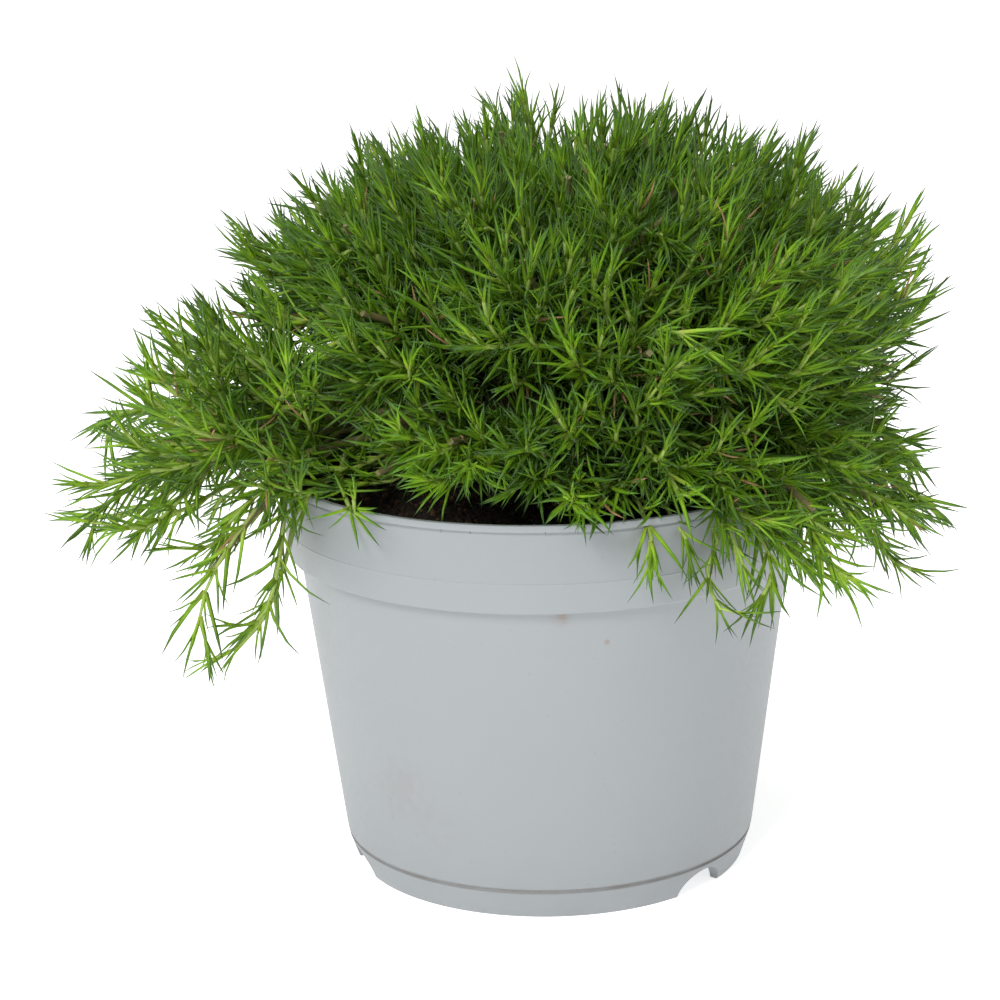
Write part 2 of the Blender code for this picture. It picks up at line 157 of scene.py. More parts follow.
def makeCamera():
    yaw, pitch, roll = studio["yaw"], studio["pitch"], studio["roll"]
    forward = Vector((math.sin(yaw) * math.cos(pitch), math.cos(yaw) * math.cos(pitch), -math.sin(pitch)))
    right = Vector((math.cos(yaw), -math.sin(yaw), 0))
    up = right.cross(forward)
    across = math.cos(roll) * right + math.sin(roll) * up
    above = -math.sin(roll) * right + math.cos(roll) * up
    turn = Matrix((across, above, -forward)).transposed().to_4x4()
    turn.translation = Vector((potAxis.x, potAxis.y - studio["distance"], studio["height"]))
    camera = bpy.data.objects.new("camera", bpy.data.cameras.new("camera"))
    scene.collection.objects.link(camera)
    camera.matrix_world = turn
    camera.data.sensor_width = 36
    camera.data.lens = studio["focal"]
    camera.data.clip_start = 0.01
    scene.camera = camera


def makeLights():
    world = bpy.data.worlds.new("studio")
    world.use_nodes = True
    world.node_tree.nodes["Background"].inputs["Color"].default_value = (1, 1, 1, 1)
    world.node_tree.nodes["Background"].inputs["Strength"].default_value = studio["worldStrength"]
    scene.world = world
    scene.view_settings.view_transform = "Standard"
    target = potAxis + Vector((0, 0, rimHeight))
    for name, place, size, watts in studio["lights"]:
        light = bpy.data.lights.new(name, "AREA")
        light.size = size
        light.energy = watts
        lamp = bpy.data.objects.new(name, light)
        scene.collection.objects.link(lamp)
        lamp.location = potAxis + Vector(place)
        lamp.rotation_euler = (lamp.location - target).to_track_quat("Z", "Y").to_euler()


def makeFloor():
    material = bpy.data.materials.new("paleFloor")
    material.use_nodes = True
    shader = material.node_tree.nodes["Principled BSDF"]
    shader.inputs["Base Color"].default_value = (0.97, 0.97, 0.97, 1)
    shader.inputs["Emission Color"].default_value = (1, 1, 1, 1)
    shader.inputs["Emission Strength"].default_value = studio["floorGlow"]
    shader.inputs["Roughness"].default_value = 0.9
    half = studio["floorSize"] / 2
    mesh = bpy.data.meshes.new("floor")
    mesh.from_pydata([(-half, -half, 0), (half, -half, 0), (half, half, 0), (-half, half, 0)], [], [(0, 1, 2, 3)])
    addPiece("floor", mesh, material)


makeCamera()
makeLights()
makeFloor()
print("stage: camera, lights and floor")


# Effects that several materials share

def makeMottle():
    # Soft uneven patches between 0 and 1
    inputs = {"Vector": ("Vector", None), "Scale": ("Float", 100.0), "Detail": ("Float", 3.0),
              "Contrast": ("Float", 1.0)}
    tree, given, result = startTree("mottle", "ShaderNodeTree", inputs, {"Value": "Float"})
    cloud = put(tree, "ShaderNodeTexNoise",
                {"Vector": given["Vector"], "Scale": given["Scale"], "Detail": given["Detail"]})
    centred = calc(tree, "SUBTRACT", cloud.outputs[0], 0.5)
    spread = calc(tree, "MULTIPLY", centred, given["Contrast"])
    feed(tree, result["Value"], calc(tree, "ADD", spread, 0.5, clamp=True))
    return tree


def makeSpecks():
    # Small scattered grains, gathered in patches
    inputs = {"Vector": ("Vector", None), "Scale": ("Float", 300.0), "Size": ("Float", 0.2),
              "Patch Scale": ("Float", 40.0), "Cover": ("Float", 0.5)}
    tree, given, result = startTree("specks", "ShaderNodeTree", inputs, {"Mask": "Float"})
    wobble = put(tree, "ShaderNodeTexNoise", {"Vector": given["Vector"], "Scale": given["Scale"]})
    bent = vectorCalc(tree, "SCALE", wobble.outputs["Color"])
    bent.node.inputs["Scale"].default_value = 0.0012
    place = vectorCalc(tree, "ADD", given["Vector"], bent)
    cells = put(tree, "ShaderNodeTexVoronoi", {"Vector": place, "Scale": given["Scale"]})
    chance = put(tree, "ShaderNodeSeparateColor", {0: cells.outputs["Color"]}).outputs[0]
    patches = put(tree, "ShaderNodeTexNoise", {"Vector": given["Vector"], "Scale": given["Patch Scale"]})
    allowed = calc(tree, "MULTIPLY", patches.outputs[0], given["Cover"])
    chosen = calc(tree, "LESS_THAN", chance, allowed)
    size = calc(tree, "MULTIPLY", given["Size"], chance)
    edge = calc(tree, "MULTIPLY", size, 1.4)
    near = put(tree, "ShaderNodeMapRange", {0: cells.outputs["Distance"], 1: edge, 2: size})
    feed(tree, result["Mask"], calc(tree, "MULTIPLY", near.outputs[0], chosen))
    return tree


mottle = makeMottle()
specks = makeSpecks()


def startMaterial(name, roughness):
    material = bpy.data.materials.new(name)
    material.use_nodes = True
    tree = material.node_tree
    shader = tree.nodes["Principled BSDF"]
    shader.inputs["Roughness"].default_value = roughness
    place = put(tree, "ShaderNodeTexCoord").outputs["Object"]
    return material, tree, shader, place


def mottled(tree, place, scale, contrast=1.0, detail=3.0):
    feeds = {"Vector": place, "Scale": scale, "Contrast": contrast, "Detail": detail}
    node = put(tree, "ShaderNodeGroup", node_tree=mottle)
    for key, value in feeds.items():
        feed(tree, node.inputs[key], value)
    return node.outputs["Value"]


def speckled(tree, place, scale, size, patchScale, cover):
    node = put(tree, "ShaderNodeGroup", node_tree=specks)
    feeds = {"Vector": place, "Scale": scale, "Size": size, "Patch Scale": patchScale, "Cover": cover}
    for key, value in feeds.items():
        feed(tree, node.inputs[key], value)
    return node.outputs["Mask"]


def ramped(tree, value, stops):
    ramp = put(tree, "ShaderNodeValToRGB", {0: value})
    elements = ramp.color_ramp.elements
    while len(elements) < len(stops):
        elements.new(0.5)
    for element, (position, colour) in zip(elements, stops):
        element.position = position
        element.color = (*colour, 1)
    return ramp.outputs[0]


def blended(tree, share, first, second, kind="MIX"):
    mix = put(tree, "ShaderNodeMix", data_type="RGBA", blend_type=kind)
    feed(tree, mix.inputs["Factor"], share)
    for socket, value in ((mix.inputs[6], first), (mix.inputs[7], second)):
        feed(tree, socket, value if isinstance(value, bpy.types.NodeSocket) else (*value, 1))
    return mix.outputs[2]


def attribute(tree, name):
    return put(tree, "ShaderNodeAttribute", attribute_name=name).outputs["Fac"]


def bumped(tree, shader, height, strength, distance):
    bump = put(tree, "ShaderNodeBump", {"Height": height, "Strength": strength, "Distance": distance})
    feed(tree, shader.inputs["Normal"], bump.outputs[0])


# Pot: thin moulded plastic with a lip bead, a wide collar, a groove and a foot ring

pot = {
    "wall": 1.3 * mm,
    "lipHeight": 1.5 * mm,
    "lipOverhang": 0.4 * mm,
    "lipLine": 0.25 * mm,
    "collarHeight": 19.9 * mm,
    "collarFootRadius": 57.5 * mm,
    "partingHeight": 79.4 * mm,
    "partingSize": 0.1 * mm,
    "bodyTopRadius": 54.9 * mm,
    "bodyFootRadius": 46.3 * mm,
    "grooveHeight": 0.9 * mm,
    "grooveDepth": 0.5 * mm,
    "footHeight": 6.2 * mm,
    "footRadius": 44 * mm,
    "footWall": 2 * mm,
    "edgeRound": 0.3 * mm,
    "steps": 176,
    "archAzimuths": (48, 168, -72),
    "archWidth": 14 * mm,
    "archHeight": 5.2 * mm,
    "drainHoles": 5,
    "drainRadius": 3.5 * mm,
    "drainCircle": 28 * mm,
    "colour": (0.282, 0.302, 0.314),
    "shadeColour": (0.265, 0.284, 0.296),
    "dirtColour": (0.085, 0.055, 0.03),
    "grooveDirt": 0.55,
    "stainColour": (0.20, 0.11, 0.06),
    "stains": [  # azimuth from the front, height, size, strength
        (3, 71.5 * mm, 3.2 * mm, 0.6),
        (13.5, 65 * mm, 0.9 * mm, 1.0),
        (-41, 27 * mm, 12 * mm, 0.16),
        (-30, 20 * mm, 9 * mm, 0.10),
    ],
}


def compass(azimuth, tilt):
    turn, lean = math.radians(azimuth), math.radians(tilt)
    return Vector((math.sin(lean) * math.sin(turn), -math.sin(lean) * math.cos(turn), math.cos(lean)))


def collarRadius(height):
    share = (height - (rimHeight - pot["collarHeight"])) / pot["collarHeight"]
    return pot["collarFootRadius"] + (rimRadius - pot["lipOverhang"] - pot["collarFootRadius"]) * share


def bodyRadius(height):
    share = (height - pot["footHeight"]) / (rimHeight - pot["collarHeight"] - pot["footHeight"])
    return pot["bodyFootRadius"] + (pot["bodyTopRadius"] - pot["bodyFootRadius"]) * share


def rounded(profile, size):
    # Each corner becomes a short arc
    result = [profile[0]]
    for before, corner, after in zip(profile, profile[1:], profile[2:]):
        back, ahead = before - corner, after - corner
        reach = min(size, back.length * 0.45, ahead.length * 0.45)
        first, last = corner + back.normalized() * reach, corner + ahead.normalized() * reach
        for share in (0, 0.5, 1):
            result.append(first.lerp(corner, share).lerp(corner.lerp(last, share), share))
    return result + [profile[-1]]


def potProfile():
    wall, edge = pot["wall"], pot["edgeRound"]
    collarFoot = rimHeight - pot["collarHeight"]
    floor = pot["footHeight"] + wall
    ledge = collarFoot + wall
    lip = rimHeight - pot["lipHeight"]
    line = pot["lipLine"]
    parting, bead = pot["partingHeight"], pot["partingSize"]
    grooveTop = pot["footHeight"] + pot["grooveHeight"]
    points = [
        (0, floor),
        (bodyRadius(floor) - wall, floor),
        (bodyRadius(collarFoot) - wall, ledge),
        (collarRadius(ledge) - wall, ledge),
        (collarRadius(lip) - wall, lip),
        (rimRadius - wall, rimHeight),
        (rimRadius, rimHeight),
        (rimRadius, lip),
        (collarRadius(lip) - line, lip),
        (collarRadius(lip) - line, lip - 2 * line),
        (collarRadius(lip - 3 * line), lip - 3 * line),
        (collarRadius(parting + 2 * bead), parting + 2 * bead),
        (collarRadius(parting) + bead, parting),
        (collarRadius(parting - 2 * bead), parting - 2 * bead),
        (collarRadius(collarFoot), collarFoot + edge),
        (collarRadius(collarFoot) - 2 * edge, collarFoot),
        (pot["bodyTopRadius"], collarFoot),
        (pot["bodyFootRadius"], grooveTop),
        (pot["bodyFootRadius"] - pot["grooveDepth"], grooveTop - 0.2 * mm),
        (pot["bodyFootRadius"] - pot["grooveDepth"], pot["footHeight"] + 0.2 * mm),
        (pot["bodyFootRadius"] - 0.2 * mm, pot["footHeight"]),
        (pot["footRadius"], 0),
        (pot["footRadius"] - pot["footWall"], 0),
        (pot["footRadius"] - pot["footWall"], pot["footHeight"] - wall / 2),
        (0, pot["footHeight"] - wall / 2),
    ]
    return rounded([Vector(point) for point in points], edge)


def spun(name, profile, steps, centre):
    # A closed solid from a profile of radius and height whose ends lie on the axis
    bm = bmesh.new()
    rings = []
    for radius, height in profile:
        if radius < 1e-6:
            rings.append([bm.verts.new(centre + Vector((0, 0, height)))])
            continue
        ring = []
        for step in range(steps):
            turn = math.tau * step / steps
            ring.append(bm.verts.new(centre + Vector((radius * math.cos(turn), radius * math.sin(turn), height))))
        rings.append(ring)
    for lower, upper in zip(rings, rings[1:]):
        for step in range(steps):
            after = (step + 1) % steps
            corners = [lower[step % len(lower)], lower[after % len(lower)],
                       upper[after % len(upper)], upper[step % len(upper)]]
            bm.faces.new(list(dict.fromkeys(corners)))
    bmesh.ops.recalc_face_normals(bm, faces=bm.faces)
    mesh = bpy.data.meshes.new(name)
    bm.to_mesh(mesh)
    bm.free()
    return mesh


def cutAway(piece, cutter):
    cutter.hide_render = True
    boolean = piece.modifiers.new("Cut", "BOOLEAN")
    boolean.operation = "DIFFERENCE"
    boolean.solver = "EXACT"
    boolean.object = cutter


def cylinders(name, places):
    # places: matrix, radius, depth
    bm = bmesh.new()
    for matrix, radius, depth in places:
        bmesh.ops.create_cone(bm, segments=40, radius1=radius, radius2=radius, depth=depth,
                              cap_ends=True, matrix=matrix)
    mesh = bpy.data.meshes.new(name)
    bm.to_mesh(mesh)
    bm.free()
    return addPiece(name, mesh)


def makePlastic():
    material, tree, shader, place = startMaterial("potPlastic", 0.5)
    local = vectorCalc(tree, "SUBTRACT", place, tuple(potAxis))
    parts = put(tree, "ShaderNodeSeparateXYZ", {0: local}).outputs
    level = put(tree, "ShaderNodeCombineXYZ", {0: parts[0], 1: parts[1]}).outputs[0]
    radius = put(tree, "ShaderNodeVectorMath", {0: level}, operation="LENGTH").outputs["Value"]
    height = parts[2]

    colour = blended(tree, mottled(tree, local, 28, 1.4), pot["shadeColour"], pot["colour"])
    grit = mottled(tree, local, 2600, 1.6, 2)
    fine = mottled(tree, local, 700, 1.2)

    # Soil caught in the groove over the foot, and splashed up from the ground
    fromGroove = calc(tree, "ABSOLUTE", calc(tree, "SUBTRACT", height, pot["footHeight"] + 0.45 * mm))
    groove = ranged(tree, fromGroove, 0.9 * mm, 0.2 * mm)
    groove = calc(tree, "MULTIPLY", groove, ranged(tree, mottled(tree, local, 160, 1.6), 0, 1, 0.2, pot["grooveDirt"]))
    low = ranged(tree, height, 16 * mm, 0)
    low = calc(tree, "MULTIPLY", calc(tree, "MULTIPLY", low, mottled(tree, local, 90, 2.0)), 0.10)

    # Grains of peat on the lip and a few further down
    nearLip = ranged(tree, height, rimHeight - 3.5 * mm, rimHeight - 0.5 * mm, 0.10, 1.0)
    grains = calc(tree, "MULTIPLY", speckled(tree, local, 520, 0.34, 60, 0.75), nearLip)
    crumbs = speckled(tree, local, 150, 0.16, 22, 0.30)

    # Inside, a film of peat above the soil
    collarFoot = rimHeight - pot["collarHeight"]
    body = ranged(tree, height, pot["footHeight"], collarFoot, pot["bodyFootRadius"], pot["bodyTopRadius"])
    collar = ranged(tree, height, collarFoot, rimHeight, pot["collarFootRadius"], rimRadius)
    onCollar = calc(tree, "GREATER_THAN", height, collarFoot + pot["wall"] / 2)
    collar = calc(tree, "MULTIPLY", collar, onCollar)
    outer = calc(tree, "SUBTRACT", calc(tree, "MAXIMUM", body, collar), 0.9 * mm)
    inside = calc(tree, "LESS_THAN", radius, outer)
    inside = calc(tree, "MULTIPLY", inside, calc(tree, "GREATER_THAN", height, pot["footHeight"] + 0.9 * mm))
    film = ranged(tree, height, rimHeight - 1 * mm, soilHigh.z - 3 * mm, 0.12, 0.95)
    film = calc(tree, "MULTIPLY", calc(tree, "MULTIPLY", film, inside), mottled(tree, local, 240, 2.0))

    dirt = groove
    for layer in (low, grains, crumbs, film):
        dirt = calc(tree, "MAXIMUM", dirt, layer)
    colour = blended(tree, dirt, colour, pot["dirtColour"])

    for azimuth, high, size, strength in pot["stains"]:
        spot = compass(azimuth, 90) * bodyRadius(high) + Vector((0, 0, high))
        away = put(tree, "ShaderNodeVectorMath", {0: local, 1: tuple(spot)}, operation="DISTANCE")
        mark = ranged(tree, away.outputs["Value"], size, size * 0.2, curve="SMOOTHSTEP")
        mark = calc(tree, "MULTIPLY", mark, mottled(tree, local, 420, 2.0))
        colour = blended(tree, calc(tree, "MULTIPLY", mark, strength), colour, pot["stainColour"])

    feed(tree, shader.inputs["Base Color"], colour)
    rough = ranged(tree, fine, 0, 1, 0.42, 0.58)
    feed(tree, shader.inputs["Roughness"], calc(tree, "MAXIMUM", rough, ranged(tree, dirt, 0, 1, 0, 0.9)))
    relief = calc(tree, "ADD", calc(tree, "MULTIPLY", grit, 0.35), calc(tree, "MULTIPLY", dirt, 2.0))
    bumped(tree, shader, relief, 0.35, 0.12 * mm)
    return material


def makePot():
    mesh = spun("nurseryPot", potProfile(), pot["steps"], potAxis)
    piece = addPiece("nurseryPot", mesh, makePlastic())
    arches = []
    for azimuth in pot["archAzimuths"]:
        outward = compass(azimuth, 90)
        turn = outward.to_track_quat("Z", "Y").to_matrix().to_4x4()
        oval = Matrix.Diagonal((pot["archWidth"] / 2, pot["archHeight"], 1, 1))
        arches.append((Matrix.Translation(potAxis + outward * pot["footRadius"]) @ turn @ oval, 1, 12 * mm))
    holes = []
    for number in range(pot["drainHoles"]):
        spot = potAxis + compass(360 * number / pot["drainHoles"], 90) * pot["drainCircle"]
        holes.append((Matrix.Translation(spot + Vector((0, 0, pot["footHeight"]))), pot["drainRadius"], 6 * mm))
    cutters = [cylinders("archCutter", arches), cylinders("holeCutter", holes)]
    for cutter in cutters:
        cutAway(piece, cutter)
    piece = settled(piece)
    for cutter in cutters:
        bpy.data.objects.remove(cutter, do_unlink=True)
    piece.data.shade_smooth()
    piece.data.set_sharp_from_angle(angle=math.radians(32))
    placed(piece, "pot_plastic", "pot")
    print("pot:", len(piece.data.polygons), "faces")


makePot()


# Soil: dark peat with a crumbly top and scraps of bark

soil = {
    "gap": 0.3 * mm,
    "rings": 44,
    "steps": 132,
    "relief": 1.0 * mm,
    "tapHole": 6.2 * mm,
    "tapDepth": 30 * mm,
    "crumbs": 260000,  # a square metre
    "crumbSmall": 0.5 * mm,
    "crumbLarge": 1.5 * mm,
    "fibres": 30000,
    "fibreLength": 5 * mm,
    "seed": 4,
    "darkColour": (0.012, 0.008, 0.005),
    "paleColour": (0.075, 0.042, 0.022),
    "barkColour": (0.16, 0.085, 0.04),
}


def makePeat():
    material, tree, shader, place = startMaterial("peat", 0.92)
    clod = mottled(tree, place, 420, 2.6)
    dust = mottled(tree, place, 2400, 2.2)
    colour = blended(tree, calc(tree, "MULTIPLY", clod, dust), soil["darkColour"], soil["paleColour"])
    bark = calc(tree, "GREATER_THAN", attribute(tree, "bark"), 0.8)
    colour = blended(tree, calc(tree, "MULTIPLY", bark, 0.75), colour, soil["barkColour"])
    feed(tree, shader.inputs["Base Color"], colour)
    feed(tree, shader.inputs["Roughness"], ranged(tree, dust, 0, 1, 0.75, 1.0))
    bumped(tree, shader, calc(tree, "ADD", clod, dust), 0.6, 0.4 * mm)
    return material


def makeCrumbs():
    # A few crumb shapes, kept in a collection for the tree to pick from
    shapes = bpy.data.collections.new("crumbShapes")
    scene.collection.children.link(shapes)
    draw = random.Random(soil["seed"])
    for number in range(4):
        bm = bmesh.new()
        bmesh.ops.create_icosphere(bm, subdivisions=1, radius=1)
        for vertex in bm.verts:
            vertex.co *= draw.uniform(0.65, 1.1)
            vertex.co.z *= 0.75
        mesh = bpy.data.meshes.new("crumb")
        bm.to_mesh(mesh)
        bm.free()
        shapes.objects.link(bpy.data.objects.new(f"crumb{number}", mesh))
    return shapes


def scatterTree():
    inputs = {"Geometry": ("Geometry", None), "Density": ("Float", 1000.0), "Small": ("Float", 0.001),
              "Large": ("Float", 0.002), "Flatness": ("Float", 1.0), "Seed": ("Int", 0),
              "Shapes": ("Collection", None), "Material": ("Material", None)}
    tree, given, result = startTree("scatterCrumbs", "GeometryNodeTree", inputs, {"Geometry": "Geometry"})
    tree.is_modifier = True
    facing = put(tree, "ShaderNodeSeparateXYZ", {0: put(tree, "GeometryNodeInputNormal").outputs[0]}).outputs[2]
    upward = put(tree, "FunctionNodeCompare", {0: facing, 1: 0.6}, operation="GREATER_THAN").outputs[0]
    points = put(tree, "GeometryNodeDistributePointsOnFaces",
                 {"Mesh": given["Geometry"], "Selection": upward, "Density": given["Density"],
                  "Seed": given["Seed"]})
    shapes = put(tree, "GeometryNodeCollectionInfo",
                 {"Collection": given["Shapes"], "Separate Children": True, "Reset Children": True})
    turn = put(tree, "FunctionNodeRandomValue", {0: (0, 0, 0), 1: (math.tau, math.tau, math.tau)},
               data_type="FLOAT_VECTOR")
    size = put(tree, "FunctionNodeRandomValue", {2: 0.0, 3: 1.0, "Seed": 5}, data_type="FLOAT").outputs[1]
    size = calc(tree, "POWER", size, 2.5)
    span = calc(tree, "SUBTRACT", given["Large"], given["Small"])
    size = calc(tree, "ADD", calc(tree, "MULTIPLY", size, span), given["Small"])
    crumbs = put(tree, "GeometryNodeInstanceOnPoints",
                 {"Points": points.outputs["Points"], "Instance": shapes.outputs[0], "Pick Instance": True,
                  "Rotation": turn.outputs[0], "Scale": size})
    chance = put(tree, "FunctionNodeRandomValue", {2: 0.0, 3: 1.0, "Seed": 9}, data_type="FLOAT").outputs[1]
    marked = put(tree, "GeometryNodeStoreNamedAttribute",
                 {"Geometry": crumbs.outputs[0], "Name": "bark", "Value": chance},
                 data_type="FLOAT", domain="INSTANCE")
    solid = put(tree, "GeometryNodeRealizeInstances", {0: marked.outputs[0]})
    both = put(tree, "GeometryNodeJoinGeometry")
    tree.links.new(solid.outputs[0], both.inputs[0])
    tree.links.new(given["Geometry"], both.inputs[0])
    finished = put(tree, "GeometryNodeSetMaterial", {"Geometry": both.outputs[0], "Material": given["Material"]})
    feed(tree, result["Geometry"], finished.outputs[0])
    return tree


def makeSoil():
    collarFoot = rimHeight - pot["collarHeight"]
    wall, gap = pot["wall"], soil["gap"]
    floor = pot["footHeight"] + wall + gap
    ledge = collarFoot + wall + gap
    top = soilHigh.z - 1.0 * mm
    edge = collarRadius(top) - wall - 2 * gap
    profile = [(edge * ring / soil["rings"], top) for ring in range(soil["rings"] + 1)]
    profile += [(collarRadius(ledge) - wall - 2 * gap, ledge), (bodyRadius(ledge) - wall - 2 * gap, ledge),
                (bodyRadius(floor) - wall - gap, floor), (0, floor)]
    mesh = spun("pottingSoil", [Vector(point) for point in profile], soil["steps"], potAxis)
    for vertex in mesh.vertices:
        radius = (vertex.co - potAxis).xy.length
        if vertex.co.z > top - 0.01 * mm:
            swell = noise.fractal(vertex.co * 90, 0.7, 2.1, 5) * soil["relief"]
            vertex.co.z += swell * min(1, (edge - radius) / (4 * mm) + 0.35)
    piece = addPiece("pottingSoil", mesh)
    centre = Matrix.Translation((crown.x, crown.y, soilHigh.z))
    cutter = cylinders("tapCutter", [(centre, soil["tapHole"], 2 * soil["tapDepth"])])
    cutAway(piece, cutter)
    piece = settled(piece)
    bpy.data.objects.remove(cutter, do_unlink=True)
    mesh = piece.data.copy()
    bpy.data.objects.remove(piece, do_unlink=True)
    shapes = makeCrumbs()
    values = {"Density": soil["crumbs"], "Small": soil["crumbSmall"], "Large": soil["crumbLarge"],
              "Seed": soil["seed"], "Shapes": shapes, "Material": makePeat()}
    piece = grownBy("pottingSoil", mesh, scatterTree(), values)
    bpy.data.collections.remove(shapes)
    placed(piece, "peat", "soil")
    print("soil:", len(piece.data.polygons), "faces")


makeSoil()


# Rootstock: the CAD solid keeps its shape and gets an old bark

def makeBark():
    material, tree, shader, place = startMaterial("oldBark", 0.9)
    stretched = vectorCalc(tree, "MULTIPLY", place, (1, 1, 0.3))
    streak = mottled(tree, stretched, 900, 2.2)
    colour = ramped(tree, streak, [(0.2, (0.03, 0.018, 0.008)), (0.8, (0.17, 0.11, 0.05))])
    feed(tree, shader.inputs["Base Color"], colour)
    bumped(tree, shader, streak, 0.8, 0.5 * mm)
    return material


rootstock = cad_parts["rootstock"]
rootstock.data.materials.clear()
rootstock.data.materials.append(makeBark())


# Foliage: each packed spray is replaced by the fine shoots that end where its leaf tips are

foliage = {
    "tipGap": 6.1 * mm,  # between neighbouring shoots
    "innerGap": 9.5 * mm,
    "innerDepth": 12 * mm,
    "fillCount": 1500,
    "fillTilt": 97,
    "fillGap": 6.9 * mm,
    "topReach": 0.945,  # how far out shoots stand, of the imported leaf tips' distance
    "sideReach": 1.0,
    "reachTilts": (30, 58),
    "unevenness": 0.10,  # the most that a shoot falls short of that
    "strays": 0.08,  # share of the shoots that stand out further
    "strayReach": 1.03,
    "soilWindow": (-50, 4),  # azimuths from the pot's axis where its front stays open
    "windowHeight": 105 * mm,
    "looseSides": [  # azimuths, tilts, gap and reach where the cushion is thin
        (-130, -38, 74, 93, 1.7, 0.95),
        (-130, -38, 93, 180, 2.3, 1.0),
        (30, 150, 76, 95, 1.4, 0.95),
        (0, 110, 95, 180, 1.7, 1.0),
    ],
    "upturn": 0.85,
    "trailingUpturn": 0.3,
    "drapes": 13,  # short shoots that hang over the rim at the front
    "drapeAzimuths": (4, 62),
    "drapeHeights": (80 * mm, 99 * mm),
    "drapeStandOff": (2 * mm, 8 * mm),
    "leafyLength": 30 * mm,
    "steps": 8,
    "trunkRadius": 1.3 * mm,
    "stemRadius": 0.6 * mm,
    "tipRadius": 0.42 * mm,
    "stemSides": 4,
    "nodes": 9,  # leaf pairs along a shoot
    "leaves": 5,  # at each of them, with the small ones in the axils
    "leafLength": 12 * mm,
    "leafWidth": 0.066,  # of its length
    "leafThickness": 0.027,
    "tipSpread": 13,  # degrees from the stem
    "baseSpread": 42,
    "sag": 1.2 * mm,
    "seed": 31,
    "baseColour": (0.42, 0.52, 0.09),
    "lowColour": (0.23, 0.40, 0.022),
    "bladeColour": (0.10, 0.225, 0.010),
    "tipColour": (0.040, 0.092, 0.020),
    "dryColour": (0.32, 0.20, 0.09),
    "stemColour": (0.30, 0.42, 0.085),
    "oldStemColour": (0.20, 0.17, 0.07),
}


def makeLeafGreen():
    material, tree, shader, place = startMaterial("leafGreen", 0.45)
    shader.inputs["Specular IOR Level"].default_value = 0.3
    along = attribute(tree, "along")
    tone = attribute(tree, "tone")
    stops = [(0.0, foliage["baseColour"]), (0.22, foliage["lowColour"]), (0.62, foliage["bladeColour"]),
             (0.97, foliage["tipColour"])]
    shifted = calc(tree, "ADD", along, ranged(tree, tone, 0, 1, 0.16, -0.10))
    colour = ramped(tree, shifted, stops)
    light = ranged(tree, tone, 0, 1, 0.62, 1.35)
    patch = ranged(tree, mottled(tree, place, 900, 1.4), 0, 1, 0.85, 1.15)
    shade = calc(tree, "MULTIPLY", light, patch)
    colour = vectorCalc(tree, "SCALE", colour)
    feed(tree, colour.node.inputs["Scale"], shade)
    colour = blended(tree, attribute(tree, "dry"), colour, foliage["dryColour"])
    feed(tree, shader.inputs["Base Color"], colour)
    feed(tree, shader.inputs["Roughness"], ranged(tree, tone, 0, 1, 0.52, 0.40))
    bumped(tree, shader, mottled(tree, place, 3000, 1.5), 0.2, 0.1 * mm)
    return material


def makeStemGreen():
    material, tree, shader, place = startMaterial("stemGreen", 0.55)
    old = ranged(tree, attribute(tree, "toTip"), 18 * mm, 45 * mm)
    colour = blended(tree, old, foliage["stemColour"], foliage["oldStemColour"])
    streak = mottled(tree, place, 1400, 1.6)
    colour = vectorCalc(tree, "SCALE", colour)
    feed(tree, colour.node.inputs["Scale"], ranged(tree, streak, 0, 1, 0.75, 1.2))
    feed(tree, shader.inputs["Base Color"], colour)
    bumped(tree, shader, streak, 0.25, 0.15 * mm)
    return material


def makeLeafShapes():
    # Keeled leaves one unit long, up Z, that bend in X; Y is their width
    shapes = bpy.data.collections.new("leafShapes")
    scene.collection.children.link(shapes)
    rings = ((0.0, 1.25, 1.0), (0.28, 1.0, 1.0), (0.66, 0.8, 0.8))
    wide, thick = foliage["leafWidth"] / 2, foliage["leafThickness"] / 2
    for number, (bend, sway) in enumerate(
            ((-0.20, 0.04), (-0.06, -0.07), (0.10, 0.05), (0.24, -0.06), (0.38, 0.10))):
        bm = bmesh.new()
        along = bm.verts.layers.float.new("along")
        loops = []
        for share, width, depth in rings:
            middle = Vector((bend * share**2, sway * share**2, share))
            corners = [(thick * depth, -wide * width), (thick * depth, wide * width), (-2 * thick * depth, 0)]
            loop = [bm.verts.new(middle + Vector((deep, side, 0))) for deep, side in corners]
            for vertex in loop:
                vertex[along] = share
            loops.append(loop)
        tip = bm.verts.new((bend, sway, 1))
        tip[along] = 1
        bm.faces.new(loops[0][::-1])
        for lower, upper in zip(loops, loops[1:]):
            for side in range(3):
                after = (side + 1) % 3
                bm.faces.new((lower[side], lower[after], upper[after], upper[side]))
        for side in range(3):
            bm.faces.new((loops[-1][side], loops[-1][(side + 1) % 3], tip))
        bmesh.ops.recalc_face_normals(bm, faces=bm.faces)
        mesh = bpy.data.meshes.new("leaf")
        bm.to_mesh(mesh)
        bm.free()
        mesh.shade_smooth()
        shapes.objects.link(bpy.data.objects.new(f"leaf{number}", mesh))
    return shapes


